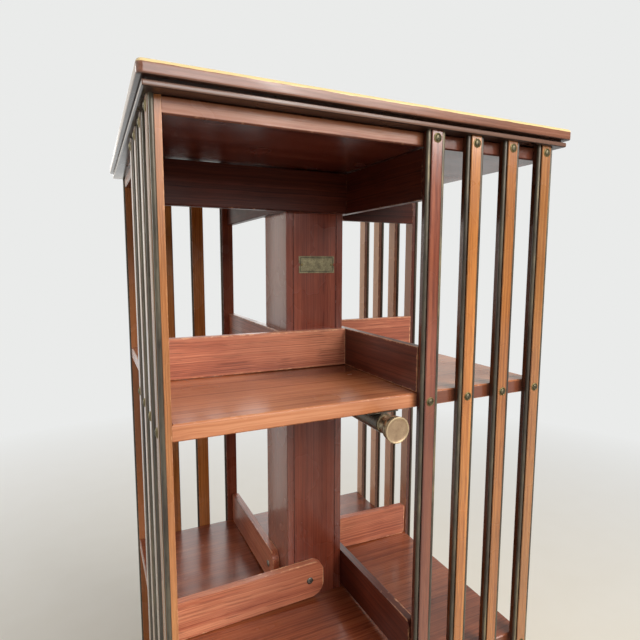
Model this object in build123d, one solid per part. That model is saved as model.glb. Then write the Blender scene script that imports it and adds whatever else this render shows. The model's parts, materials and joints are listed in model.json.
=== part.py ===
from build123d import *
import math
import os

# Revolving bookcase: a case of open slats that turns on a fixed iron post.
# Millimetres, +Z up, origin on the floor under the post, the photographed face towards -Y.
# Each side repeats the front one, turned a quarter: front, right, back, left.

# Plan of the case
case_width = 500.0          # across the outer faces of opposite slats
slat_flange_depth = 6.3     # rear flange of a slat
slat_face_depth = 6.2       # narrower front part of a slat
slat_face_width = 14.8
slat_flange_width = 20.0
slat_edge_chamfer = 0.8
slat_pitch = 57.0
rod_radius = 2.5
slats_per_side = 4
slab_overhang = 10.0        # past the slats' outer faces

# Heights
ground_clearance = 121.0    # floor to the bottom board
board_thickness = 17.5      # shelves and bottom board
top_board_thickness = 16.3
lower_tier_height = 352.5
middle_tier_height = 352.5
upper_tier_height = 284.7
board_arris = 1.4

# Top slab, from below: fillet strip, groove, fascia
fillet_strip_height = 4.6
groove_height = 3.5
fascia_height = 13.4
fillet_strip_inset = 4.5
groove_inset = 9.0
fascia_corner_radius = 6.0
fascia_top_chamfer = 2.6
fascia_bottom_chamfer = 1.4

# Column of four boards
column_width = 91.0
column_board_thickness = 10.5
column_arris = 0.8

# Fixed rails and swinging bars between the compartments
rail_thickness = 11.0
rail_arris = 1.2
top_rail_height = 57.3
top_rail_gap = 1.4          # under the top board
book_rail_height = 55.0
book_rail_gap = 0.8         # over the upper shelf
bar_height = 56.5
bar_column_gap = 0.3
bar_slat_gap = 4.0          # between a bar's outer end and the slats
bar_pivot_height = 34.0     # above the shelf
bar_pivot_offset = 13.0     # from the column's middle
bar_heel_length = 23.0      # past the pivot
bar_heel_top_radius = 16.0
bar_heel_bottom_radius = 22.0
bar_outer_radius = 5.0
bar_stop_gap = 0.3          # between a lowered bar's corner and the shelf
bar_raised_angle = 2.2      # of the one bar that stands above level

# Pivot screws of the bars
screw_shank_radius = 3.0
screw_shank_clearance = 0.05
screw_head_radius = 5.2
screw_head_height = 1.4
screw_head_clearance = 0.15

# Blank plate on the column
plate_width = 57.0
plate_height = 24.5
plate_thickness = 0.8
plate_notch_radius = 2.2
plate_side_offset = 2.5
plate_centre_height = 151.8  # above the upper shelf

# Post, bearings
post_radius = 15.0
post_clearance = 0.05
post_tip_radius = 8.0
post_tip_length = 14.0
bearing_plate_width = 64.0
bearing_plate_thickness = 5.0
bearing_boss_width = 34.0
bearing_boss_height = 12.0
bearing_recess_depth = 9.0
bearing_gap = 0.2
bush_radius = 22.0
bush_flange_width = 70.0
bush_flange_thickness = 4.0

# Brake under the upper shelf
tube_radius = 11.75
tube_wall = 2.0
tube_front_inset = 2.5      # behind the shelf's front edge
tube_inner_overhang = 3.0   # past the column board, inside the column
tube_plate_width = 40.0
tube_plate_length = 60.0
tube_plate_thickness = 1.2
tube_slot_width = 4.0
tube_slot_length = 30.0
running_clearance = 0.08
knob_reach = 27.0           # from the tube's end to the knob's face
knob_disc_radius = 15.3
knob_disc_thickness = 2.8
knob_groove_radius = 13.4
knob_groove_width = 1.8
knob_band_radius = 14.4
knob_band_width = 6.6
knob_neck_radius = 10.2
knob_spigot_length = 16.0
brake_screw_radius = 4.0
brake_screw_length = 130.0
plunger_length = 132.0
plunger_key_length = 12.0
pad_radius = 8.0
pad_thickness = 3.0
brake_travel = 2.0          # of the plunger, for one turn of the knob
brake_held_gap = 0.1        # left between pad and post when the brake is on

# Iron stand
hub_radius = 34.0
hub_bottom = 42.0
hub_top = 104.0
arm_thickness = 22.0
arm_reach = 226.0           # centre to a foot's middle
arm_root_top = 92.0
arm_root_bottom = 50.0
arm_bow = 14.0              # rise of an arm's top over the straight line
foot_radius = 20.0
foot_height = 24.0

# Levels and planes that follow from them
case_half = case_width / 2
slat_depth = slat_flange_depth + slat_face_depth
board_half = case_half - slat_depth
slab_half = case_half + slab_overhang
column_half = column_width / 2
column_inner_half = column_half - column_board_thickness
bottom_board_top = ground_clearance + board_thickness
lower_shelf_top = bottom_board_top + lower_tier_height + board_thickness
upper_shelf_top = lower_shelf_top + middle_tier_height + board_thickness
top_board_bottom = upper_shelf_top + upper_tier_height
slab_bottom = top_board_bottom + top_board_thickness
last_slat_centre = board_half - slat_flange_width / 2
rail_front = column_half + rail_thickness
bar_back = column_half + bar_column_gap
bar_front = bar_back + rail_thickness
brake_axis = upper_shelf_top - board_thickness - tube_plate_thickness - tube_radius
tube_bore_radius = tube_radius - tube_wall
tube_front = -(board_half + tube_front_inset)
tube_back = -(column_inner_half - tube_inner_overhang)

sides = ("front", "right", "back", "left")
bar_tiers = {"middle": lower_shelf_top, "lower": bottom_board_top}


def block(x, y, z):
    """A box between two planes on each axis."""
    size = [high - low for low, high in (x, y, z)]
    middle = [(high + low) / 2 for low, high in (x, y, z)]
    return Pos(*middle) * Box(*size)


def turned(shape, side):
    """A shape of the front side, turned to another side."""
    return Rot(0, 0, 90 * sides.index(side)) * shape


def rod(radius, start, end, axis=Axis.Z, at=(0, 0)):
    """A round bar along Z at (x, y), or along Y at (x, z)."""
    length = end - start
    if axis == Axis.Z:
        return Pos(at[0], at[1], (start + end) / 2) * Cylinder(radius, length)
    return Pos(at[0], (start + end) / 2, at[1]) * Rot(90, 0, 0) * Cylinder(radius, length)


def turned_profile(points):
    """A closed outline of (radius, height) points turned about Z."""
    return revolve(make_face(Plane.XZ * Polyline(*points, close=True)), Axis.Z)


def save(name, shape):
    """Write one node, with every separate solid that it has."""
    export_step(shape, f"parts/{name}.step")


def edges_along(shape, axis):
    """The straight edges that run along an axis."""
    return shape.edges().filter_by(axis)


def top_slab():
    """Square slab with an eased fascia over a groove and a fillet strip."""
    groove_bottom = slab_bottom + fillet_strip_height
    fascia_bottom = groove_bottom + groove_height
    strip_half = slab_half - fillet_strip_inset
    groove_half = slab_half - groove_inset
    fascia_top = fascia_bottom + fascia_height
    fascia = block((-slab_half, slab_half), (-slab_half, slab_half), (fascia_bottom, fascia_top))
    fascia = fillet(edges_along(fascia, Axis.Z), fascia_corner_radius)
    fascia = chamfer(fascia.edges().group_by(Axis.Z)[-1], fascia_top_chamfer)
    fascia = chamfer(fascia.edges().group_by(Axis.Z)[0], fascia_bottom_chamfer)
    groove = block(
        (-groove_half, groove_half), (-groove_half, groove_half), (groove_bottom, fascia_bottom)
    )
    strip = block((-strip_half, strip_half), (-strip_half, strip_half), (slab_bottom, groove_bottom))
    return fascia + groove + strip


def board(bottom, thickness):
    """A square board with its outer edges eased."""
    shape = block((-board_half, board_half), (-board_half, board_half), (bottom, bottom + thickness))
    return chamfer(shape.edges() - edges_along(shape, Axis.Z), board_arris)


def shelf(top):
    """A shelf with a square hole that the column passes through."""
    shape = board(top - board_thickness, board_thickness)
    hole = (-column_half, column_half)
    return shape - block(hole, hole, (top - board_thickness, top))


def bottom_board():
    """The bottom board with a round hole for the bush."""
    shape = board(ground_clearance, board_thickness)
    return shape - rod(bush_radius, ground_clearance, bottom_board_top)


def column_board(side):
    """One board of the column, drawn on the front side; the side boards are the full width."""
    half = column_half if side in ("right", "left") else column_inner_half
    shape = block(
        (-half, half), (-column_half, -column_inner_half), (bottom_board_top, top_board_bottom)
    )
    shape = chamfer(edges_along(shape, Axis.Z).group_by(Axis.Y)[0], column_arris)
    for shelf_top in bar_tiers.values():
        shape -= rod(
            screw_shank_radius, -column_half, -column_inner_half, Axis.Y,
            (-bar_pivot_offset, shelf_top + bar_pivot_height),
        )
    if side == "front":
        shape -= rod(tube_radius, -column_half, -column_inner_half, Axis.Y, (0, brake_axis))
    return turned(shape, side)


def slat_centre(number):
    """Distance of a slat's middle from the case's middle; number 1 is nearest the opening."""
    return last_slat_centre - (slats_per_side - number) * slat_pitch


def slat(side, number):
    """A slat: a flange that lies on the boards' edges and a narrower face in front of it."""
    centre = slat_centre(number)
    flange = slat_flange_width / 2
    face = slat_face_width / 2
    step = -board_half - slat_flange_depth
    nose = -case_half + slat_edge_chamfer
    right_half = [
        (flange, -board_half), (flange, step), (face, step), (face, nose),
        (face - slat_edge_chamfer, -case_half),
    ]
    left_half = [(-x, y) for x, y in reversed(right_half)]
    outline = [(centre + x, y, ground_clearance) for x, y in right_half + left_half]
    shape = extrude(make_face(Polyline(*outline, close=True)), slab_bottom - ground_clearance,
                    dir=(0, 0, 1))
    return turned(shape, side)


def slat_rods(side):
    """Two brass rods in the corners of each slat of a side, drawn with twelve flats to stay light."""
    rods = []
    section = RegularPolygon(rod_radius, 12)
    for number in range(1, slats_per_side + 1):
        for direction in (-1, 1):
            x = slat_centre(number) + direction * (slat_face_width / 2 + rod_radius)
            foot = Pos(x, -case_half + slat_face_depth - rod_radius, ground_clearance)
            upright = foot * extrude(section, slab_bottom - ground_clearance)
            rods.append(turned(upright, side))
    return Compound(children=rods)


def rail(side, bottom, height):
    """A fixed rail on the column's face, from the slats to the next side's rail."""
    shape = block((-board_half, column_half), (-rail_front, -column_half), (bottom, bottom + height))
    return turned(chamfer(edges_along(shape, Axis.X).group_by(Axis.Y)[0], rail_arris), side)


def bar_rest_angle(tier, side):
    """Angle of a bar above level at rest: all lie on their shelf but one."""
    if (tier, side) == ("middle", "right"):
        return bar_raised_angle
    reach = board_half - bar_slat_gap - bar_pivot_offset
    drop = bar_pivot_height - bar_stop_gap
    return -math.degrees(math.asin(drop / math.hypot(reach, bar_height / 2))
                         - math.atan2(bar_height / 2, reach))


def book_bar(tier, side):
    """A swinging bar with a rounded heel, on its pivot, at its rest angle."""
    half = bar_height / 2
    outer = -(board_half - bar_slat_gap - bar_pivot_offset)
    shape = block((outer, bar_heel_length), (-bar_front, -bar_back), (-half, half))
    upright = edges_along(shape, Axis.Y)
    heel = upright.group_by(Axis.X)[-1].sort_by(Axis.Z)
    shape = fillet(heel[-1], bar_heel_top_radius)
    heel = edges_along(shape, Axis.Y).group_by(Axis.X)[-1].sort_by(Axis.Z)
    shape = fillet(heel[0:1], bar_heel_bottom_radius)
    shape = fillet(edges_along(shape, Axis.Y).group_by(Axis.X)[0], bar_outer_radius)
    shape -= rod(screw_shank_radius + screw_shank_clearance, -bar_front, -bar_back, Axis.Y)
    place = Pos(-bar_pivot_offset, 0, bar_tiers[tier] + bar_pivot_height)
    return turned(place * Rot(0, bar_rest_angle(tier, side), 0) * shape, side)


def pivot_screw(height):
    """A round-headed screw through a front bar into the column, at a height above the floor."""
    place = (-bar_pivot_offset, height)
    seat = -bar_front - screw_head_clearance
    shank = rod(screw_shank_radius, seat, -column_inner_half - 1, Axis.Y, place)
    return shank + rod(screw_head_radius, seat - screw_head_height, seat, Axis.Y, place)


def bar_pivot_screws():
    """The pivot screws of all the bars."""
    heights = [shelf_top + bar_pivot_height for shelf_top in bar_tiers.values()]
    return Compound(children=[
        turned(pivot_screw(height), side) for height in heights for side in sides
    ])


def blank_plate():
    """A thin blank plate with a notch in the middle of each end."""
    height = upper_shelf_top + plate_centre_height
    half = plate_width / 2
    ends = (plate_side_offset - half, plate_side_offset + half)
    thickness = (-column_half - plate_thickness, -column_half)
    shape = block(ends, thickness, (height - plate_height / 2, height + plate_height / 2))
    for x in ends:
        shape -= rod(plate_notch_radius, *thickness, Axis.Y, (x, height))
    return shape


def brake_tube():
    """An iron tube along Y, with a slot in its inner end for the plunger's key."""
    shape = rod(tube_radius, tube_front, tube_back, Axis.Y, (0, brake_axis))
    shape -= rod(tube_bore_radius, tube_front, tube_back, Axis.Y, (0, brake_axis))
    half = tube_slot_width / 2
    return shape - block(
        (-half, half), (tube_back - tube_slot_length, tube_back),
        (brake_axis, brake_axis + tube_radius),
    )


def brake_plate():
    """A thin plate under the upper shelf that the tube is brazed to."""
    top = upper_shelf_top - board_thickness
    return block(
        (-tube_plate_width / 2, tube_plate_width / 2), (-board_half, -board_half + tube_plate_length),
        (top - tube_plate_thickness, top),
    )


def brake_knob():
    """A brass knob: disc, groove, wide band, neck and a spigot that turns in the tube."""
    face = knob_reach
    disc_back = face - knob_disc_thickness
    band_front = disc_back - knob_groove_width
    band_back = band_front - knob_band_width
    spigot = tube_bore_radius - running_clearance
    solid = turned_profile([
        (0, -knob_spigot_length), (spigot, -knob_spigot_length), (spigot, 0),
        (knob_neck_radius, 0), (knob_neck_radius, band_back),
        (knob_band_radius, band_back), (knob_band_radius, band_front),
        (knob_groove_radius, band_front), (knob_groove_radius, disc_back),
        (knob_disc_radius, disc_back), (knob_disc_radius, face), (0, face),
    ])
    return Pos(0, tube_front, brake_axis) * Rot(90, 0, 0) * solid


def brake_screw():
    """The steel screw that turns with the knob and drives the plunger."""
    start = tube_front + knob_spigot_length
    return rod(brake_screw_radius, start, start + brake_screw_length, Axis.Y, (0, brake_axis))


def plunger_front():
    """Y of the plunger's inner end, where the pad sits, with the brake off."""
    return -(post_radius + pad_thickness + brake_travel + brake_held_gap)


def brake_plunger():
    """A keyed plunger with a threaded bore, that slides in the tube towards the post."""
    end = plunger_front()
    start = end - plunger_length
    shape = rod(tube_bore_radius - running_clearance, start, end, Axis.Y, (0, brake_axis))
    bore_end = tube_front + knob_spigot_length + brake_screw_length + brake_travel
    shape -= rod(brake_screw_radius + running_clearance, start, bore_end, Axis.Y, (0, brake_axis))
    half = tube_slot_width / 2 - running_clearance
    key_end = tube_back - tube_slot_length + brake_travel + plunger_key_length
    key = block(
        (-half, half), (key_end - plunger_key_length, key_end),
        (brake_axis + tube_bore_radius - 2, brake_axis + tube_radius - 0.2),
    )
    return shape + key


def brake_pad():
    """A leather pad on the plunger's nose."""
    nose_end = plunger_front()
    return rod(pad_radius, nose_end, nose_end + pad_thickness, Axis.Y, (0, brake_axis))


def bearing_boss_bottom():
    """Height of the underside of the top bearing's boss."""
    return top_board_bottom - bearing_plate_thickness - bearing_boss_height


def post():
    """The fixed post with a pivot turned on its top."""
    tip = bearing_boss_bottom() + bearing_recess_depth - bearing_gap
    return rod(post_radius, hub_bottom, tip - post_tip_length) + rod(
        post_tip_radius, tip - post_tip_length, tip
    )


def top_bearing():
    """A plate under the top board with a boss whose recess turns on the post's pivot."""
    plate_bottom = top_board_bottom - bearing_plate_thickness
    half = bearing_plate_width / 2
    boss = bearing_boss_width / 2
    shape = block((-half, half), (-half, half), (plate_bottom, top_board_bottom))
    shape += block((-boss, boss), (-boss, boss), (bearing_boss_bottom(), plate_bottom))
    return shape - rod(
        post_tip_radius + post_clearance, bearing_boss_bottom(),
        bearing_boss_bottom() + bearing_recess_depth,
    )


def bottom_bush():
    """A brass bush with a square flange, that guides the case low on the post."""
    flange_bottom = ground_clearance - bush_flange_thickness
    half = bush_flange_width / 2
    shape = rod(bush_radius, ground_clearance, bottom_board_top)
    shape += block((-half, half), (-half, half), (flange_bottom, ground_clearance))
    return shape - rod(post_radius + post_clearance, flange_bottom, bottom_board_top)


def stand_arm():
    """One arm of the stand along +X: a bowed bar that ends in a round foot."""
    root = hub_radius - 6
    end_top = foot_height - 3
    middle = (root + arm_reach) / 2
    crown = (arm_root_top + end_top) / 2 + arm_bow
    top = ThreePointArc((root, arm_root_top), (middle, crown), (arm_reach, end_top))
    hollow = (arm_root_bottom + 2) / 2 + arm_bow
    bottom = ThreePointArc((arm_reach, 2), (middle, hollow), (root, arm_root_bottom))
    outline = top + Line(top @ 1, bottom @ 0) + bottom + Line(bottom @ 1, top @ 0)
    arm = extrude(make_face(Plane.XZ * outline), arm_thickness / 2, both=True)
    return arm + rod(foot_radius, 0, foot_height, at=(arm_reach, 0))


def iron_base():
    """A cast cross: a turned hub with four arms on the diagonals."""
    shape = rod(hub_radius, hub_bottom, hub_top)
    for quarter in range(4):
        shape += Rot(0, 0, 45 + 90 * quarter) * stand_arm()
    return shape - rod(post_radius, hub_bottom, hub_top)


os.makedirs("parts", exist_ok=True)

save("top_slab", top_slab())
save("top_board", board(top_board_bottom, top_board_thickness))
save("upper_shelf", shelf(upper_shelf_top))
save("lower_shelf", shelf(lower_shelf_top))
save("bottom_board", bottom_board())

for side in sides:
    save(f"column_{side}_board", column_board(side))
    for number in range(1, slats_per_side + 1):
        save(f"{side}_slat_{number}", slat(side, number))
    save(f"{side}_slat_rods", slat_rods(side))
    save(f"top_{side}_rail", rail(side, top_board_bottom - top_rail_gap - top_rail_height,
                                  top_rail_height))
    save(f"upper_{side}_book_rail", rail(side, upper_shelf_top + book_rail_gap, book_rail_height))
    for tier in bar_tiers:
        save(f"{tier}_{side}_book_bar", book_bar(tier, side))

save("bar_pivot_screws", bar_pivot_screws())
save("blank_plate", blank_plate())
save("brake_tube", brake_tube())
save("brake_plate", brake_plate())
save("brake_knob", brake_knob())
save("brake_screw", brake_screw())
save("brake_plunger", brake_plunger())
save("brake_pad", brake_pad())
save("top_bearing", top_bearing())
save("bottom_bush", bottom_bush())
save("post", post())
save("iron_base", iron_base())
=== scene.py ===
import json
import math
import random

import bmesh
import bpy
from mathutils import Matrix, Vector


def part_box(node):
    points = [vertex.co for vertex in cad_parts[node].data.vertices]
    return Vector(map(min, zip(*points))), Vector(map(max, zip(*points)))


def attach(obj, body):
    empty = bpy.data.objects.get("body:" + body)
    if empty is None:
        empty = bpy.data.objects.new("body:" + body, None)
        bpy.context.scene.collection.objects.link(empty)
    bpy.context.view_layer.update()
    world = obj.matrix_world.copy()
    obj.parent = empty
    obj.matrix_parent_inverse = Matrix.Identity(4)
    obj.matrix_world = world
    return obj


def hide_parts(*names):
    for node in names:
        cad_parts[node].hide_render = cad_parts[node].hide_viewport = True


# Frame and sizes, in metres
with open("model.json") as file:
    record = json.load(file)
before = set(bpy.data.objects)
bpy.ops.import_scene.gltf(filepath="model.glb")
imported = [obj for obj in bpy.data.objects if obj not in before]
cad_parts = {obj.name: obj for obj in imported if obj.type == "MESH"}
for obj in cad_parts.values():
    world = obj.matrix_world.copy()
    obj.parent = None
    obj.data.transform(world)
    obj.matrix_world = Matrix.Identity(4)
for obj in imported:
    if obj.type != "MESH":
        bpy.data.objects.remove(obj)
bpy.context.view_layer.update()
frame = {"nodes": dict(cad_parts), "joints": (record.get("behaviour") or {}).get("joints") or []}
nodes = frame["nodes"]
SIDES = ("front", "right", "back", "left")
BAR_TIERS = ("lower", "middle")
SLAT_NUMBERS = (1, 2, 3, 4)  # from the middle of a side to its corner
CASE_HALF = -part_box("front_slat_1")[0].y
UPPER_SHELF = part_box("upper_shelf")[1].z
BOARD_MIDDLES = [
    (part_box(name)[0].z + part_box(name)[1].z) / 2
    for name in ("top_board", "upper_shelf", "lower_shelf", "bottom_board")
]
PIVOTS = {joint["name"]: joint["pos_m"] for joint in frame["joints"] if "pos_m" in joint}
SMOOTH_DEGREES = 40  # facets that meet at less look round


def turn(side):
    """The turn from the front side to another side."""
    return Matrix.Rotation(math.radians(90 * SIDES.index(side)), 4, "Z")


def outward(side):
    """The direction that a side faces."""
    return turn(side) @ Vector((0, -1, 0))


# Colours
def colour(red, green, blue):
    """A colour as seen on screen, from 0 to 255, as the shader's own numbers."""
    return tuple(
        (c / 255 / 12.92) if c <= 10 else ((c / 255 + 0.055) / 1.055) ** 2.4
        for c in (red, green, blue)
    )


def palette(*screen):
    """Colours of one wood, from its darkest streak to its lightest."""
    return tuple(colour(*values) for values in screen)


def darker(tone, share):
    return tuple(c * share for c in tone)


# Node trees
class Tree:
    """A node tree, with short calls for the nodes that the materials and the world share."""

    def __init__(self, tree):
        self.tree = tree
        self.places = self.add("ShaderNodeTexCoord").outputs

    def add(self, kind, **settings):
        node = self.tree.nodes.new(kind)
        for key, value in settings.items():
            setattr(node, key, value)
        return node

    def join(self, value, socket):
        """Link a socket, or give it a number, a vector or a colour of three numbers."""
        if isinstance(value, bpy.types.NodeSocket):
            self.tree.links.new(value, socket)
        elif value is not None:
            socket.default_value = (*value, 1) if socket.type == "RGBA" else value

    def fill(self, node, inputs):
        """Fill a node's inputs, and return its first output."""
        for name, value in inputs.items():
            self.join(value, node.inputs[name])
        return node.outputs[0]

    def math(self, operation, a, b=None):
        return self.fill(self.add("ShaderNodeMath", operation=operation), {0: a, 1: b})

    def vector(self, operation, a, b=None):
        node = self.add("ShaderNodeVectorMath", operation=operation)
        self.fill(node, {0: a, "Scale" if operation == "SCALE" else 1: b})
        return node.outputs["Value" if operation in ("DOT_PRODUCT", "LENGTH") else "Vector"]

    def split(self, vector):
        node = self.add("ShaderNodeSeparateXYZ")
        self.fill(node, {0: vector})
        return node.outputs

    def spread(self, value, low, high, out_low=0.0, out_high=1.0):
        """Map a value between low and high to one between two outputs, and no further."""
        return self.fill(self.add("ShaderNodeMapRange"), {
            "Value": value, "From Min": low, "From Max": high, "To Min": out_low,
            "To Max": out_high})

    def noise(self, vector, detail=3.0, rough=0.5, distortion=0.0, scale=1.0, output="Fac"):
        node = self.add("ShaderNodeTexNoise")
        self.fill(node, {"Vector": vector, "Scale": scale, "Detail": detail,
                         "Roughness": rough, "Distortion": distortion})
        return node.outputs[output]

    def mix(self, factor, a, b):
        """Colour a where the factor is 0, colour b where it is 1."""
        node = self.add("ShaderNodeMix", data_type="RGBA")
        # The node has sockets for each type of data, and these are the colour's
        first, second, mixed = 6, 7, 2
        self.fill(node, {0: factor, first: a, second: b})
        return node.outputs[mixed]

    def blend(self, factor, a, b):
        """Shader a where the factor is 0, shader b where it is 1."""
        return self.fill(self.add("ShaderNodeMixShader"), {0: factor, 1: a, 2: b})

    def show(self, shader, output):
        """Link a shader to the tree's output node."""
        self.join(shader, self.tree.nodes[output].inputs[0])


class Finish(Tree):
    """A material, and the tone that is built up for its base colour."""

    def __init__(self, name, tone=None):
        self.material = bpy.data.materials.new(name)
        self.material.use_nodes = True
        super().__init__(self.material.node_tree)
        self.shader = self.tree.nodes["Principled BSDF"]
        self.coords = self.places["Object"]
        self.normal = self.places["Normal"]
        self.tone = tone

    def mapped(self, scale, offset=(0, 0, 0), source=None):
        """Coordinates times one number, or times one for each axis."""
        return self.fill(self.add("ShaderNodeMapping"), {
            "Vector": source or self.coords,
            "Scale": scale if isinstance(scale, tuple) else (scale, scale, scale),
            "Location": offset})

    def ramp(self, value, stops):
        node = self.add("ShaderNodeValToRGB")
        elements = node.color_ramp.elements
        while len(elements) < len(stops):
            elements.new(0.5)
        for element, (place, tone) in zip(elements, stops):
            element.position = place
            element.color = (*tone, 1)
        return self.fill(node, {0: value})

    def bump(self, height, strength, distance, under=None):
        return self.fill(self.add("ShaderNodeBump"), {
            "Height": height, "Strength": strength, "Distance": distance, "Normal": under})

    def lay(self, tone, mask, strength=1.0):
        """Lay another tone over what is there, where the mask is above 0."""
        if strength != 1.0:
            mask = self.math("MULTIPLY", mask, strength)
        self.tone = self.mix(mask, self.tone, tone)

    def done(self, inputs):
        """Give the shader its tone and other inputs, and return the material."""
        self.fill(self.shader, {"Base Color": self.tone, **inputs})
        return self.material


# Tones that the woods share
# Pale wear, and the painted highlight along arrises
WORN_AND_LIT = colour(224, 168, 128)
# Painted sheen on the left slats' chamfers
CHAMFER_SHEEN = colour(206, 190, 172)
# Painted shade
DEEP_SHADE = colour(62, 24, 18)
# Painted shade on a board's edge between slats
SHADE_BETWEEN_SLATS = colour(92, 46, 34)


class Wood(Finish):
    """Varnished mahogany with its grain along one axis: streaks, bands, pores and stains.

    The methods from shade_round_column to seams each lay one thing over the tone, in the
    order of their calls, and varnish finishes the material.
    """

    def __init__(self, name, along, tones, seed, contrast=1.0):
        super().__init__(name)
        dark, middle, light = tones
        self.along = along
        self.contrast = contrast
        self.deep = darker(dark, 0.5)
        self.place = (seed * 3.1, seed * 1.7, seed * 2.3)
        drift = self.noise(self.mapped(4.0, self.place), detail=1.0, scale=5.0, output="Color")
        self.drifted = self.vector("ADD", self.coords, self.vector("SCALE", drift, 0.003))

        self.streaks = self.stretched(520.0, 1.6, detail=4.0, rough=0.6)
        bands = self.stretched(48.0, 1.0, detail=3.0, rough=0.55, distortion=0.4)
        patches = self.stretched(9.0, 4.0, detail=3.0, rough=0.5)
        grain = self.math("ADD", self.spread(self.streaks, 0.36, 0.64, 0.0, 0.36),
                          self.spread(bands, 0.34, 0.66, 0.0, 0.30))
        self.grain = self.math("ADD", grain, self.spread(patches, 0.30, 0.70, 0.0, 0.34))
        self.tone = self.ramp(self.grain, [(0.12, dark), (0.50, middle), (0.88, light)])
        lines = self.spread(self.stretched(760.0, 1.3, detail=4.0, rough=0.55), 0.54, 0.64)
        self.lay(self.deep, lines, 0.62 * contrast)
        self.pores = self.spread(self.stretched(1900.0, 45.0, detail=2.0, rough=0.5), 0.58, 0.70)
        self.lay(self.deep, self.pores, 0.32 * contrast)
        stain = self.noise(self.mapped(7.0, self.place), detail=2.0)
        self.stain = self.spread(stain, 0.45, 0.75)
        self.lay(self.deep, self.stain, 0.30)

    def stretched(self, across, length, detail, rough, distortion=0.0):
        """Noise drawn out along the grain: its waves in a metre across and along it."""
        scale = [across, across, across]
        scale[self.along] = length
        vector = self.mapped(tuple(scale), self.place, self.drifted)
        return self.noise(vector, detail, rough, distortion)

    def facing(self, side):
        """How far the surface faces the way its side does, from -1 to 1."""
        return self.vector("DOT_PRODUCT", self.normal, outward(side))

    def arris_gap(self, box):
        """How far a point on a box-shaped piece is from the box's nearest arris."""
        low, high = box
        gaps = []
        for axis, value in enumerate(self.split(self.coords)):
            centred = self.math("SUBTRACT", value, (low[axis] + high[axis]) / 2)
            gaps.append(self.math("SUBTRACT", (high[axis] - low[axis]) / 2,
                                  self.math("ABSOLUTE", centred)))
        least = self.math("MINIMUM", gaps[0], gaps[1])
        most = self.math("MAXIMUM", gaps[0], gaps[1])
        return self.math("MAXIMUM", least, self.math("MINIMUM", most, gaps[2]))

    def shade_round_column(self, strength):
        """Painted shade: darker round the column, where light reaches the board least."""
        level = self.vector("MULTIPLY", self.coords, (1, 1, 0))
        radius = self.vector("LENGTH", level)
        self.lay(self.deep, self.spread(radius, 0.085, 0.15, strength, 0.0))

    def shade_below(self, height):
        """Painted shade: darker below a height."""
        self.lay(DEEP_SHADE, self.spread(self.split(self.coords)[2], height - 0.06, height, 0.45, 0.0))

    def bare_and_lit_edges(self, tones):
        """Bare wood and painted light on a board's upright edges, which hands reach at a side's
        opening.

        Between the slats of the same side the edge stays dark with painted shade.
        """
        upright = self.math("ABSOLUTE", self.split(self.normal)[2])
        # Bare wood and painted light: lighter tones on the edges that face out
        bare = self.ramp(self.grain, list(zip((0.20, 0.50, 0.80), tones)))
        bare = self.mix(self.math("MULTIPLY", self.stain, 0.2), bare, self.deep)
        along_side = self.split(self.vector("CROSS_PRODUCT", self.normal, self.coords))[2]
        # Painted shade between the slats of one side
        bare = self.mix(self.spread(along_side, 0.038, 0.050, 0.0, 0.85), bare, SHADE_BETWEEN_SLATS)
        self.lay(bare, self.spread(upright, 0.25, 0.85, 1.0, 0.0))

    def shade_flanks(self, side):
        """Painted shade on the faces where a slat looks along its side, towards the next slat.
        """
        turned = self.math("ABSOLUTE", self.facing(side))
        self.lay(DEEP_SHADE, self.spread(turned, 0.2, 0.7, 0.82, 0.0))

    def light_and_shade_inside(self, side, tint, strength):
        """Painted light and shade: a tint on the face towards the column."""
        self.lay(tint, self.spread(self.facing(side), -0.9, -0.6, strength, 0.0))

    def sheen_outside(self, side, tint, strength):
        """Painted sheen: another tint on the face away from the column."""
        self.lay(tint, self.spread(self.facing(side), 0.6, 0.9, 0.0, strength))

    def sheen_chamfers(self, side):
        """Painted sheen: pale tone on faces at 45 degrees to their side."""
        slope = self.math("ABSOLUTE", self.math("SUBTRACT", self.facing(side), 0.7))
        self.lay(CHAMFER_SHEEN, self.spread(slope, 0.1, 0.2, 1.0, 0.0), 0.95)

    def wear(self, box, rubbed_and_lit=0.35, line=0.0):
        """Wear and a painted highlight along the arrises: a ragged pale band, nowhere narrower
        than line.
        """
        ragged = self.noise(self.mapped(120.0, self.place), detail=4.0, rough=0.6)
        limit = self.spread(ragged, 0.48, 0.78, line, line + 0.0028)
        worn = self.spread(self.math("SUBTRACT", limit, self.arris_gap(box)), 0.0, 0.0014)
        # Partly wear, partly a painted highlight on the arris
        self.lay(WORN_AND_LIT, worn, rubbed_and_lit)

    def seams(self, box):
        """Dark seams along the arrises, where two boards are joined."""
        self.lay(self.deep, self.spread(self.arris_gap(box), 0.0006, 0.0022, 0.75, 0.0))

    def varnish(self, gloss=0.32, shine=0.25, coat=0.0, arris=0.0011):
        """Smeared varnish over the pores, and arrises rounded by a radius."""
        smears = self.noise(self.mapped(16.0, self.place), detail=2.0)
        relief = self.math("ADD", self.math("MULTIPLY", self.streaks, 0.6),
                           self.math("MULTIPLY", self.pores, -0.8))
        rounded = self.fill(self.add("ShaderNodeBevel", samples=4), {"Radius": arris})
        return self.done({
            "Roughness": self.spread(smears, 0.3, 0.7, gloss - 0.03, gloss + 0.08),
            "Specular IOR Level": shine,
            "Coat Weight": coat,
            "Coat Roughness": 0.12,
            "Normal": self.bump(relief, 0.16 * self.contrast, 0.0003, rounded),
        })


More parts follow.
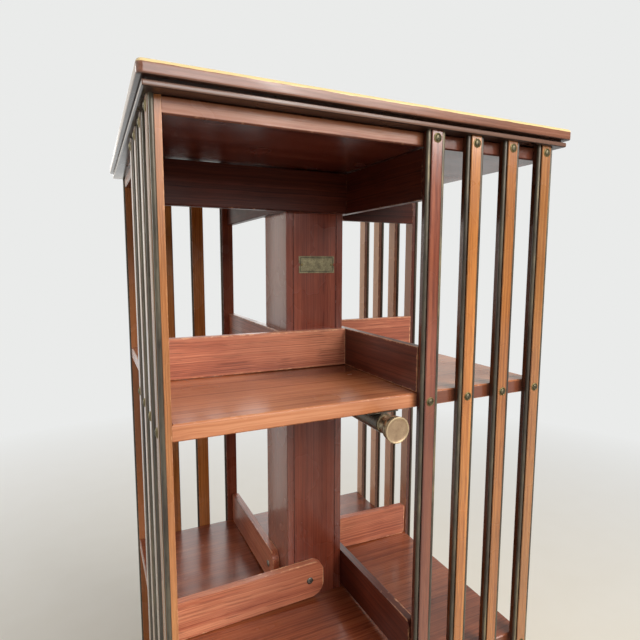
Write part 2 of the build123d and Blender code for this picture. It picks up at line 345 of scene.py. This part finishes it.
# Metals and leather
def metal(name, base, worn, rough, patch, amount=0.5, metallic=1.0, bump=0.15):
    """Metal with cloudy patina: a base tone, a worn or brighter tone and uneven gloss."""
    t = Finish(name, base)
    clouds = t.noise(t.mapped(patch), detail=5.0, rough=0.6, distortion=0.3)
    specks = t.noise(t.mapped(patch * 9), rough=0.6)
    t.lay(worn, t.spread(clouds, 0.35, 0.7), amount)
    t.lay(darker(base, 0.4), t.spread(specks, 0.58, 0.75), 0.5)
    return t.done({
        "Metallic": metallic,
        "Roughness": t.spread(clouds, 0.3, 0.7, rough - 0.08, rough + 0.12),
        "Normal": t.bump(specks, bump, 0.0002),
    })


def rod_brass(side):
    """Rod brass: olive-brown patina, with bare golden metal where hands rub it."""
    t = Finish(f"{side}_rod_brass")
    facing = t.vector("DOT_PRODUCT", t.normal, outward(side))
    clouds = t.noise(t.mapped((30.0, 30.0, 9.0)), detail=5.0, rough=0.62)
    fine = t.noise(t.mapped((400.0, 400.0, 60.0)), rough=0.6)
    t.tone = t.mix(t.spread(clouds, 0.35, 0.65), colour(62, 54, 46), colour(96, 90, 76))
    rub = t.math("ADD", facing, t.math("MULTIPLY", clouds, 0.9))
    t.lay(colour(166, 146, 102), t.spread(rub, 1.46, 1.62), 0.6)
    t.lay(colour(34, 28, 24), t.spread(fine, 0.52, 0.72), 0.6)
    return t.done({
        "Metallic": 0.3,
        "Roughness": t.spread(clouds, 0.3, 0.7, 0.30, 0.44),
        "Specular IOR Level": 0.5,
        "Normal": t.bump(fine, 0.35, 0.0003),
    })


BORDER_INSET = 0.0024  # of the engraved line from the plate's edge


def plate_metal(low, high):
    """Aged brass with an engraved border line, darker in the line and in the hollows."""
    t = Finish("plate_brass")
    centre = Vector(((low.x + high.x) / 2, 0, (low.z + high.z) / 2))
    split = t.split(t.vector("SUBTRACT", t.coords, centre))
    beyond = []
    for axis in (0, 2):
        half = (high[axis] - low[axis]) / 2 - BORDER_INSET
        beyond.append(t.math("SUBTRACT", t.math("ABSOLUTE", split[axis]), half))
    line = t.math("ABSOLUTE", t.math("MAXIMUM", *beyond))
    cut = t.spread(line, 0.0003, 0.0007, 1.0, 0.0)
    clouds = t.noise(t.mapped(130.0), detail=5.0, rough=0.6)
    specks = t.noise(t.mapped(1200.0), rough=0.6)
    t.tone = t.mix(t.spread(clouds, 0.34, 0.66), colour(96, 90, 68), colour(144, 136, 104))
    t.lay(colour(44, 38, 28), t.spread(specks, 0.50, 0.68), 0.6)
    t.lay(colour(30, 26, 20), cut, 0.85)
    return t.done({
        "Metallic": 0.6,
        "Roughness": t.spread(clouds, 0.3, 0.7, 0.50, 0.36),
        "Normal": t.bump(t.math("SUBTRACT", specks, cut), 0.3, 0.0002),
    })


# Behind the knob's face: where its bright rim ends, and where the bare disc turns brown with age
# and painted shade
RIM_DEPTH = 0.0006
DISC_DEPTH = (0.0020, 0.0036)


def knob_metal(face):
    """Brass that is bare and mottled on the knob's disc, and brown with age and painted shade
    behind it.
    """
    t = Finish("turned_brass")
    depth = t.split(t.coords)[1]
    disc_end = [face + behind for behind in DISC_DEPTH]
    clouds = t.noise(t.mapped(130.0), detail=5.0, rough=0.62)
    specks = t.noise(t.mapped(1100.0), rough=0.6)
    t.tone = t.mix(t.spread(clouds, 0.30, 0.72), colour(150, 124, 98), colour(178, 152, 122))
    t.lay(colour(214, 196, 156), t.spread(depth, face, face + RIM_DEPTH, 1.0, 0.0), 0.5)
    aged_and_shaded = t.mix(t.spread(clouds, 0.36, 0.66), colour(82, 72, 54), colour(168, 154, 124))
    t.lay(aged_and_shaded, t.spread(depth, *disc_end))
    t.lay(colour(56, 46, 34), t.spread(specks, 0.55, 0.72), 0.45)
    return t.done({
        "Metallic": 0.65,
        "Roughness": t.spread(depth, *disc_end, 0.46, 0.26),
        "Normal": t.bump(specks, 0.2, 0.0002),
    })


def leather(name):
    """Brown leather with a fine pebbled grain."""
    t = Finish(name)
    cells = t.fill(t.add("ShaderNodeTexVoronoi"), {"Vector": t.mapped(900.0)})
    t.tone = t.mix(cells, colour(84, 56, 38), colour(58, 38, 26))
    return t.done({"Roughness": 0.7, "Normal": t.bump(cells, 0.4, 0.0003)})


# Materials on the CAD nodes
def smooth(mesh, degrees=SMOOTH_DEGREES):
    """Smooth shading wherever two facets meet at less than an angle."""
    mesh.polygons.foreach_set("use_smooth", [True] * len(mesh.polygons))
    mesh.set_sharp_from_angle(angle=math.radians(degrees))


def paint(name, material):
    """Give a CAD node one material."""
    slots = nodes[name].data.materials
    slots.clear()
    slots.append(material)


def paint_round(name, material):
    """Give a CAD node one material, with smooth shading where its facets should look round."""
    paint(name, material)
    node = nodes[name]
    if node.data.has_custom_normals:
        bpy.context.view_layer.objects.active = node
        bpy.ops.mesh.customdata_custom_splitnormals_clear()
    smooth(node.data)


# Tones of each wood, and tints of painted light, shade and sheen on single faces, with their
# strength
# Painted shade: the top board's tones are darkened for the shade under the slab
TOP_SHADE_TONES = palette((52, 19, 12), (84, 37, 26), (110, 54, 40))
CASE_TONES = palette((138, 72, 43), (194, 118, 76), (218, 146, 99))
LOW_TONES = palette((98, 42, 24), (148, 78, 48), (178, 106, 68))
# Bare wood and painted light on the boards' upright edges; the top board's edge is painted light
TOP_EDGE_LIGHT_TONES = palette((130, 76, 52), (154, 98, 70), (172, 118, 90))
BARE_AND_LIT_EDGE_TONES = palette((160, 94, 58), (186, 118, 78), (202, 138, 98))
COLUMN_TONES = palette((94, 38, 25), (122, 57, 39), (144, 76, 54))
# Painted shade: the top rails' tones are darkened for the shade under the top board
TOP_RAIL_SHADE_TONES = palette((44, 15, 9), (74, 31, 20), (96, 45, 31))
RAIL_TONES = palette((116, 52, 34), (180, 104, 76), (212, 140, 106))
BAR_TONES = palette((122, 53, 35), (189, 110, 80), (219, 148, 111))
SHADE_TONES = palette((52, 17, 11), (98, 44, 31), (122, 64, 47))
SLAB_TONES = palette((104, 64, 49), (132, 89, 71), (154, 110, 90))
SLAT_TONES = {
    1: palette((88, 38, 26), (130, 68, 48), (158, 92, 64)),
    2: palette((142, 80, 32), (186, 116, 56), (210, 144, 76)),
    3: palette((124, 70, 29), (163, 101, 50), (188, 126, 66)),
    4: palette((116, 67, 31), (153, 97, 50), (175, 121, 68)),
}
CORNER_TONES = palette((130, 76, 40), (172, 110, 64), (196, 136, 86))
SLAT_COAT = {"front": 0.4, "right": 0.1, "back": 0.0, "left": 0.7}
# Painted shade inside the front slats, painted light inside the right ones and the back corner
# slat
SLAT_INSIDE_LIGHT_AND_SHADE = {"front": (DEEP_SHADE, 0.4), "right": (colour(232, 182, 146), 0.75)}
BACK_CORNER_INSIDE_LIGHT = (colour(206, 136, 92), 0.5)
# Painted sheen on the column's left face
COLUMN_OUTSIDE_SHEEN = (colour(226, 182, 166), 0.2)


def board(name, tones, seed, edge, gloss, shine, rubbed_and_lit=0.6, contrast=1.0, shade=0.0):
    """A square board, its grain from left to right."""
    w = Wood(f"{name}_wood", 0, tones, seed, contrast)
    if shade:
        w.shade_round_column(shade)
    w.bare_and_lit_edges(edge)
    w.wear(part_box(name), rubbed_and_lit)
    paint(name, w.varnish(gloss, shine))


def column_board(side, seed):
    """A board of the column. The front and back boards show the seams."""
    name = f"column_{side}_board"
    w = Wood(f"{name}_wood", 2, COLUMN_TONES, seed, contrast=0.8)
    if side == "left":
        w.sheen_outside(side, *COLUMN_OUTSIDE_SHEEN)
    if side in ("front", "back"):
        w.seams(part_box(name))
    paint(name, w.varnish(gloss=0.24, shine=0.6, coat=0.15 if side == "front" else 0.6))


def rail(name, side, tones, seed, shine, rubbed_and_lit=0.35, line=0.0, contrast=1.0):
    """A rail or bar, its grain along its side."""
    w = Wood(f"{name}_wood", SIDES.index(side) % 2, tones, seed, contrast)
    w.wear(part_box(name), rubbed_and_lit, line)
    paint(name, w.varnish(shine=shine))


def slat(side, number, seed):
    """An upright slat. The tints of single sides and slats, painted light, shade and sheen, are
    those of the photograph.
    """
    name = f"{side}_slat_{number}"
    pale = (side, number) == ("left", 4)
    tones = CORNER_TONES if pale else SLAT_TONES[number]
    w = Wood(f"{name}_wood", 2, tones, seed, contrast=0.8)
    if (side, number) == ("front", 1):
        w.shade_below(UPPER_SHELF + 0.02)
    if not pale:
        w.shade_flanks(side)
    inside = BACK_CORNER_INSIDE_LIGHT if (side, number) == ("back", 4) else SLAT_INSIDE_LIGHT_AND_SHADE.get(side)
    if inside:
        w.light_and_shade_inside(side, *inside)
    if side == "left":
        w.sheen_chamfers(side)
    w.wear(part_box(name))
    paint(name, w.varnish(gloss=0.24, shine=0.3 if side == "back" else 0.5,
                          coat=0.0 if pale else SLAT_COAT[side], arris=0.0002))


# Seeds differ, so that no piece has the grain of its neighbour
board("top_board", TOP_SHADE_TONES, seed=2, edge=TOP_EDGE_LIGHT_TONES, gloss=0.20, shine=0.3, rubbed_and_lit=0.35)
board("upper_shelf", CASE_TONES, seed=3, edge=BARE_AND_LIT_EDGE_TONES, gloss=0.20, shine=0.6, contrast=0.6,
      shade=0.95)
board("lower_shelf", LOW_TONES, seed=4, edge=BARE_AND_LIT_EDGE_TONES, gloss=0.20, shine=0.6, contrast=0.75,
      shade=0.3)
board("bottom_board", LOW_TONES, seed=5, edge=BARE_AND_LIT_EDGE_TONES, gloss=0.28, shine=0.4, shade=0.3)
for index, side in enumerate(SIDES):
    column_board(side, 10 + index)
    rail(f"top_{side}_rail", side, TOP_RAIL_SHADE_TONES, 20 + index, shine=0.15)
    rail(f"upper_{side}_book_rail", side, SHADE_TONES if side == "right" else RAIL_TONES,
         30 + index, shine=0.55, rubbed_and_lit=0.8, line=0.0013)
    for tier in BAR_TIERS:
        rail(f"{tier}_{side}_book_bar", side, SHADE_TONES if side == "right" else BAR_TONES,
             40 + index, shine=0.5, rubbed_and_lit=0.95, line=0.0016, contrast=0.75)
    for number in SLAT_NUMBERS:
        slat(side, number, 50 + 5 * index + number)
    paint_round(f"{side}_slat_rods", rod_brass(side))

# Metal fittings
black_iron = metal("black_iron", colour(70, 64, 57), colour(118, 106, 90), rough=0.26,
                   patch=60.0, amount=0.6, metallic=0.6)
cast_iron = metal("cast_iron", colour(32, 30, 28), colour(58, 52, 46), rough=0.5,
                  patch=45.0, metallic=0.4, bump=0.5)
steel = metal("turned_steel", colour(126, 122, 116), colour(160, 156, 148), rough=0.3,
              patch=30.0)
bush_brass = metal("knob_brass", colour(158, 136, 108), colour(204, 184, 150), rough=0.44,
                   patch=110.0, amount=0.8)
cup_brass = metal("cup_brass", colour(104, 94, 64), colour(152, 138, 96), rough=0.46,
                  patch=130.0, amount=0.6)
pivot_steel = metal("pivot_steel", colour(120, 120, 112), colour(164, 164, 154), rough=0.42,
                    patch=150.0, amount=0.6)
screw_bronze = metal("screw_bronze", colour(88, 82, 66), colour(132, 124, 98), rough=0.5,
                     patch=150.0, amount=0.6)
paint("brake_plate", black_iron)
paint("blank_plate", plate_metal(*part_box("blank_plate")))
paint_round("brake_tube", black_iron)
paint_round("iron_base", cast_iron)
paint_round("top_bearing", cast_iron)
for name in ("post", "brake_screw", "brake_plunger"):
    paint_round(name, steel)
paint_round("bottom_bush", bush_brass)
paint_round("brake_pad", leather("pad_leather"))


# Mesh helpers for the pieces that only the scene has
def new_object(name, data):
    """An object in the scene for a mesh, a lamp or the camera."""
    made = bpy.data.objects.new(name, data)
    bpy.context.scene.collection.objects.link(made)
    return made


def mesh_of(name, bm):
    """A finished bmesh as a mesh."""
    mesh = bpy.data.meshes.new(name)
    bm.to_mesh(mesh)
    bm.free()
    return mesh


def new_piece(name, bm, material, body, degrees=SMOOTH_DEGREES):
    """A finished bmesh as a piece that rides on a CAD body."""
    bmesh.ops.recalc_face_normals(bm, faces=bm.faces)
    mesh = mesh_of(name, bm)
    smooth(mesh, degrees)
    mesh.materials.append(material)
    piece = new_object(name, mesh)
    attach(piece, body)
    return piece


ON_AXIS = 1e-7  # a smaller radius is a point on the axis


def lathe(bm, profile, place, segments):
    """Turn (radius, height) points about Z, closed at the axis, then move by a matrix."""
    rings = []
    for radius, height in profile:
        if radius < ON_AXIS:
            rings.append([bm.verts.new(place @ Vector((0, 0, height)))])
            continue
        ring = []
        for step in range(segments):
            angle = 2 * math.pi * step / segments
            point = Vector((radius * math.cos(angle), radius * math.sin(angle), height))
            ring.append(bm.verts.new(place @ point))
        rings.append(ring)
    for a, b in zip(rings, rings[1:]):
        for step in range(segments):
            after = (step + 1) % segments
            corners = [a[step % len(a)], a[after % len(a)], b[after % len(b)], b[step % len(b)]]
            # Where a ring is one point on the axis, two of the corners are the same
            bm.faces.new(list(dict.fromkeys(corners)))


def front_place(x, y, z):
    """A frame at a point of the front side, its Z axis pointing out of that side."""
    return Matrix.Translation((x, y, z)) @ Matrix.Rotation(math.radians(90), 4, "X")


# Screws: outlines in (radius, height) over the surface that they stand on, and a slot's
# width and depth
SCREW_SEGMENTS = 28
HEAD_LIFT = 0.0003
HEAD_BACK = -0.0004
SLAT_HEAD = {"radius": 0.0037, "height": 0.0019, "rim": 0.0004, "slot": (0.0008, 0.0009)}
PIVOT_HEAD = {"radius": 0.0052, "height": 0.0014, "rim": 0.0005, "slot": (0.0011, 0.0008)}
CUP = [(0.0053, 0), (0.0051, 0.0006), (0.0044, 0.0009), (0.0040, 0.0005), (0.0040, 0.0001),
       (0, 0.0001)]
PIVOT_SHANK = [(0.003, -0.0205), (0.003, 0.0001), (PIVOT_HEAD["radius"], 0.0002)]
PIVOT_SLOT_ANGLE = -0.55  # of the screw that the photograph shows, in radians


def slotted_head(bm, place, angle, radius, height, rim, slot):
    """A low domed screw head with a slot of a width and depth across it."""
    width, depth = slot
    part = bmesh.new()
    profile = [(radius, HEAD_BACK), (radius, rim)]
    dome_steps = 6
    for step in range(1, dome_steps + 1):
        turned = step / dome_steps * math.pi / 2
        profile.append((radius * math.cos(turned), rim + (height - rim) * math.sin(turned)))
    lathe(part, profile, Matrix.Identity(4), SCREW_SEGMENTS)
    for edge in (-width / 2, width / 2):
        geometry = list(part.verts) + list(part.edges) + list(part.faces)
        bmesh.ops.bisect_plane(part, geom=geometry, plane_co=(0, edge, 0), plane_no=(0, 1, 0))
    inner = [face for face in part.faces
             if abs(face.calc_center_median().y) < width / 2 and face.calc_center_median().z > 0]
    made = bmesh.ops.extrude_face_region(part, geom=inner)
    bmesh.ops.delete(part, geom=inner, context="FACES")
    for vertex in made["geom"]:
        if isinstance(vertex, bmesh.types.BMVert):
            vertex.co.z = max(vertex.co.z - depth, -HEAD_LIFT)
    lift = Matrix.Translation((0, 0, HEAD_LIFT))
    part.transform(place @ lift @ Matrix.Rotation(angle, 4, "Z"))
    copy = mesh_of("head", part)
    bm.from_mesh(copy)
    bpy.data.meshes.remove(copy)


def slat_screws(side, rng):
    """One screw in its cup at each slat and board of a side."""
    heads = bmesh.new()
    cups = bmesh.new()
    for number in SLAT_NUMBERS:
        low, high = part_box(f"front_slat_{number}")
        for z in BOARD_MIDDLES:
            place = turn(side) @ front_place((low.x + high.x) / 2, -CASE_HALF, z)
            lathe(cups, CUP, place, SCREW_SEGMENTS)
            slotted_head(heads, place, rng.uniform(0, math.pi), **SLAT_HEAD)
    new_piece(f"{side}_slat_screws", heads, screw_bronze, "case")
    new_piece(f"{side}_screw_cups", cups, cup_brass, "case")


def pivot_screws(rng):
    """The slotted screws on which the bars swing, one at each bar's pivot."""
    bm = bmesh.new()
    bar_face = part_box("lower_front_book_bar")[0].y
    for tier in BAR_TIERS:
        x, _, z = PIVOTS[f"{tier}_front_bar_swing"]
        for side in SIDES:
            place = turn(side) @ front_place(x, bar_face, z)
            lathe(bm, PIVOT_SHANK, place, SCREW_SEGMENTS)
            angle = PIVOT_SLOT_ANGLE if side == "front" else rng.uniform(0, math.pi)
            slotted_head(bm, place, angle, **PIVOT_HEAD)
    piece = new_piece("bar_pivot_heads", bm, pivot_steel, "case")
    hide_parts("bar_pivot_screws")


rng = random.Random(7)
for side in SIDES:
    slat_screws(side, rng)
pivot_screws(rng)

# Pins of the blank plate
PIN = [(0.0019, 0), (0.0018, 0.0004), (0.0012, 0.0008), (0, 0.0009)]
PIN_INSET = 0.0046
PIN_SEGMENTS = 20


def plate_pins():
    """The two pins at the ends of the blank plate."""
    bm = bmesh.new()
    low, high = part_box("blank_plate")
    for x in (low.x + PIN_INSET, high.x - PIN_INSET):
        lathe(bm, PIN, front_place(x, low.y, (low.z + high.z) / 2), PIN_SEGMENTS)
    new_piece("plate_pins", bm, cup_brass, "case")


plate_pins()

# Moulded slab, with the same outside sizes as the solid. Heights are over its bottom
STRIP_TOP = 0.0056
STRIP_INSET = 0.0045
GROOVE_TOP = 0.0083
GROOVE_INSET = 0.0090
SLAB_CORNER = 0.006
SLAB_CORNER_STEPS = 6


def slab_wood(bottom, top):
    """The slab's wood: painted shade below and in the groove, bare wood and a painted highlight
    in yellow along the top arris.
    """
    w = Wood("slab_wood", 0, SLAB_TONES, seed=1, contrast=0.5)
    across, _, height = w.split(w.coords)
    strip_top = bottom + STRIP_TOP
    w.lay(colour(96, 76, 66), w.spread(height, strip_top - 0.0004, strip_top + 0.0002, 0.7, 0.0))
    # Painted shade in the groove and on the faces that look down
    groove_middle = bottom + (STRIP_TOP + GROOVE_TOP) / 2
    rise = w.math("ABSOLUTE", w.math("SUBTRACT", height, groove_middle))
    inside = w.spread(rise, 0.0011, 0.0015, 0.85, 0.0)
    down = w.spread(w.split(w.normal)[2], -0.9, -0.2, 0.92, 0.0)
    w.lay(colour(30, 15, 11), w.math("MAXIMUM", inside, down))
    # Bare wood and a painted highlight along the top arris
    ragged = w.noise(w.mapped(40.0))
    start = w.spread(ragged, 0.3, 0.7, top - 0.0042, top - 0.0034)
    bare = w.spread(w.math("SUBTRACT", height, start), 0.0, 0.0006)
    under = w.spread(height, top - 0.0003, top - 0.0001, 1.0, 0.0)
    w.lay(colour(230, 204, 146), w.math("MULTIPLY", bare, under))
    # The coat of varnish gets thinner from left to right, in two steps
    coat = w.math("ADD", w.spread(across, -0.20, -0.06, 0.55, 0.0),
                  w.spread(across, -0.03, 0.05, 0.28, 0.02))
    return w.varnish(gloss=0.28, shine=0.15, coat=coat)


def moulded_slab():
    """The slab, as a profile of insets from its sides that goes round its four corners."""
    low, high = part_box("top_slab")
    thick = high.z - low.z
    strip = [(0.0062, 0), (0.0052, 0.0003), (0.0047, 0.0008), (STRIP_INSET, 0.0016),
             (STRIP_INSET, STRIP_TOP - 0.0012), (0.0048, STRIP_TOP - 0.0004),
             (0.0056, STRIP_TOP)]
    groove = [(GROOVE_INSET, STRIP_TOP), (GROOVE_INSET, GROOVE_TOP)]
    fascia = [(0.0016, GROOVE_TOP), (0.0006, GROOVE_TOP + 0.0003), (0.0001, GROOVE_TOP + 0.0010),
              (0, GROOVE_TOP + 0.0020), (0, thick - 0.0042), (0.0003, thick - 0.0028),
              (0.0012, thick - 0.0012), (0.0024, thick - 0.0003), (0.0038, thick)]
    bm = bmesh.new()
    loops = []
    for inset, rise in strip + groove + fascia:
        reach = high.x - inset
        radius = max(SLAB_CORNER - inset, 0.0008)
        loop = []
        for corner in range(4):
            centre = Vector((reach - radius, reach - radius, 0))
            for step in range(SLAB_CORNER_STEPS + 1):
                angle = math.pi / 2 * step / SLAB_CORNER_STEPS
                point = centre + Vector((radius * math.cos(angle), radius * math.sin(angle), 0))
                point = Matrix.Rotation(math.radians(90 * corner), 3, "Z") @ point
                loop.append(bm.verts.new((point.x, point.y, low.z + rise)))
        loops.append(loop)
    for a, b in zip(loops, loops[1:]):
        for step in range(len(a)):
            after = (step + 1) % len(a)
            bm.faces.new((a[step], a[after], b[after], b[step]))
    bm.faces.new(loops[0][::-1])
    bm.faces.new(loops[-1])
    piece = new_piece("moulded_slab", bm, slab_wood(low.z, high.z), "case", 30)
    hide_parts("top_slab")


moulded_slab()

# Turned brass knob, in (radius, distance) from the end of its hub to its face
KNOB_LENGTH = 0.027
KNOB_SEGMENTS = 72


def turned_knob():
    """The knob, with a beaded collar, a flared neck and a dished disc."""
    low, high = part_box("brake_knob")
    hub = [(0.0096, -0.016), (0.0096, 0)]
    collar = [(0.0102, 0), (0.0110, 0.0003), (0.0112, 0.0009), (0.0109, 0.0016),
              (0.0103, 0.0020)]
    neck = [(0.0100, 0.0030), (0.0099, 0.0060), (0.0100, 0.0095), (0.0104, 0.0125),
            (0.0112, 0.0145), (0.0124, 0.0156), (0.0136, 0.0162)]
    band = [(0.0142, 0.0172), (0.0144, 0.0188), (0.0144, 0.0206), (0.0142, 0.0218),
            (0.0138, 0.0224), (0.0134, 0.0229), (0.0134, 0.0237)]
    disc = [(0.0140, 0.0242), (0.0149, 0.0245), (0.0153, 0.0251), (0.0153, 0.0262),
            (0.0151, 0.0268), (0.0147, KNOB_LENGTH)]
    dish = [(0.0138, 0.02695), (0.0132, 0.0265), (0.0128, 0.02625), (0.0100, 0.0261),
            (0.0050, 0.0260), (0, 0.0260)]
    bm = bmesh.new()
    place = front_place(0, low.y + KNOB_LENGTH, (low.z + high.z) / 2)
    lathe(bm, hub + collar + neck + band + disc + dish, place, KNOB_SEGMENTS)
    piece = new_piece("turned_knob", bm, knob_metal(low.y), "knob", 50)
    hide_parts("brake_knob")


turned_knob()

# Floor, backdrop and lamps
BACKDROP = colour(234, 235, 234)
BRIGHT_WALLS = Vector((-0.55, 0.80, 0.25)).normalized()
FLOOR_RADIUS = 9


def pale_floor():
    """A pale floor that fades into the backdrop with the distance."""
    t = Finish("pale_floor")
    t.tone = t.mix(t.noise(t.mapped(9.0)), colour(243, 233, 212), colour(249, 241, 224))
    material = t.done({"Roughness": 0.8})
    path = t.add("ShaderNodeLightPath").outputs
    seen = t.math("MAXIMUM", path["Is Camera Ray"], path["Is Glossy Ray"])
    fade = t.math("MULTIPLY", seen, t.spread(t.vector("LENGTH", t.coords), 0.4, 2.8))
    glow = t.fill(t.add("ShaderNodeEmission"), {"Color": BACKDROP})
    t.show(t.blend(fade, t.shader.outputs[0], glow), "Material Output")
    bm = bmesh.new()
    bmesh.ops.create_circle(bm, cap_ends=True, segments=96, radius=FLOOR_RADIUS)
    mesh = mesh_of("floor", bm)
    mesh.materials.append(material)
    floor = new_object("floor", mesh)


def room():
    """A dim fill light, a pale backdrop for the camera, and walls that gloss reflects."""
    world = bpy.data.worlds.new("room")
    bpy.context.scene.world = world
    world.use_nodes = True
    t = Tree(world.node_tree)
    fill = t.fill(t.tree.nodes["Background"], {"Color": colour(240, 240, 244), "Strength": 0.10})
    backdrop = t.fill(t.add("ShaderNodeBackground"), {"Color": BACKDROP, "Strength": 1.0})
    # Polished surfaces see walls that are brighter behind and to the left than in front
    towards = t.vector("DOT_PRODUCT", t.places["Generated"], BRIGHT_WALLS)
    walls = t.fill(t.add("ShaderNodeBackground"), {
        "Color": colour(238, 234, 226), "Strength": t.spread(towards, -0.5, 0.4, 0.22, 1.2)})
    path = t.add("ShaderNodeLightPath").outputs
    light = t.blend(path["Is Glossy Ray"], fill, walls)
    t.show(t.blend(path["Is Camera Ray"], light, backdrop), "World Output")


def lamp(name, place, aim, size, power, tint):
    """A soft square area lamp that points at a height on the middle axis."""
    data = bpy.data.lights.new(name, "AREA")
    data.size = size
    data.energy = power
    data.color = tint
    made = new_object(name, data)
    made.location = place
    made.rotation_mode = "QUATERNION"
    made.rotation_quaternion = (Vector((0, 0, aim)) - Vector(place)).to_track_quat("-Z", "Y")


pale_floor()
room()
lamp("window_front", (1.35, -2.5, 2.6), aim=0.9, size=1.8, power=108, tint=(1.0, 0.98, 0.95))
lamp("window_behind", (0.1, -2.9, 2.1), aim=1.1, size=1.3, power=32, tint=(1.0, 0.98, 0.97))
lamp("window_left", (-2.5, 1.8, 1.8), aim=0.8, size=1.2, power=28, tint=(1.0, 0.98, 0.95))
lamp("window_back", (0.6, 3.0, 2.0), aim=0.9, size=2.0, power=16, tint=(0.97, 0.98, 1.0))

# Camera, from the fit to the photograph's edges: it is turned to the right and tipped down,
# and its right side is a little raised
CAMERA_PLACE = (-0.30284, -0.70754, UPPER_SHELF + 0.15332)
CAMERA_YAW = math.radians(25.17)
CAMERA_PITCH = math.radians(6.55)
CAMERA_ROLL = math.radians(0.15)
FOCAL_LENGTH = 27.65  # in millimetres, like the sensor's width
SENSOR_WIDTH = 36


def photo_camera():
    """The camera of the photograph."""
    right = Vector((math.cos(CAMERA_YAW), -math.sin(CAMERA_YAW), 0))
    ahead = Vector((math.sin(CAMERA_YAW) * math.cos(CAMERA_PITCH),
                    math.cos(CAMERA_YAW) * math.cos(CAMERA_PITCH), -math.sin(CAMERA_PITCH)))
    up = right.cross(ahead)
    right, up = (right * math.cos(CAMERA_ROLL) + up * math.sin(CAMERA_ROLL),
                 up * math.cos(CAMERA_ROLL) - right * math.sin(CAMERA_ROLL))
    turned = Matrix((right, up, -ahead)).transposed().to_4x4()
    data = bpy.data.cameras.new("camera")
    data.lens = FOCAL_LENGTH
    data.sensor_width = SENSOR_WIDTH
    camera = new_object("camera", data)
    camera.matrix_world = Matrix.Translation(CAMERA_PLACE) @ turned
    bpy.context.scene.camera = camera


photo_camera()
bpy.context.scene.view_settings.view_transform = "Standard"
